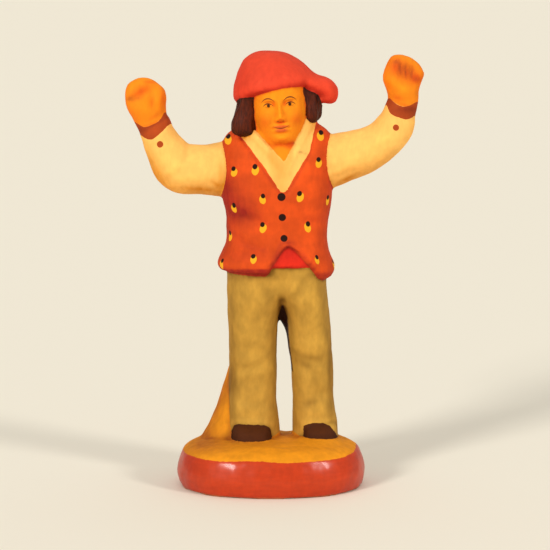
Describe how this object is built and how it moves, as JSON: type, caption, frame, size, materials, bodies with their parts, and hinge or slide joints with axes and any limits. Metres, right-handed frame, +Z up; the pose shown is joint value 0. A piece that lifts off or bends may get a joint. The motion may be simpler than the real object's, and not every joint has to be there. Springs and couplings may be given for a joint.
{
  "type": "santon figure",
  "caption": "Small hand-painted terracotta santon of a villager with raised arms, a drooping red cap, orange waistcoat and wide trousers, on an oval base.",
  "frame": {"origin": "middle of the base's flat underside", "axes": "+Z up from the base to the cap, +Y towards the figure's back, +X to the right as seen from the front; the figure faces -Y"},
  "size_m": [0.0472, 0.0236, 0.07],
  "materials": {
    "painted_clay": "matt hand-painted, glossy rim"
  },
  "bodies": {
    "root": {"santon_figure": "painted_clay"}
  },
  "joints": []
}
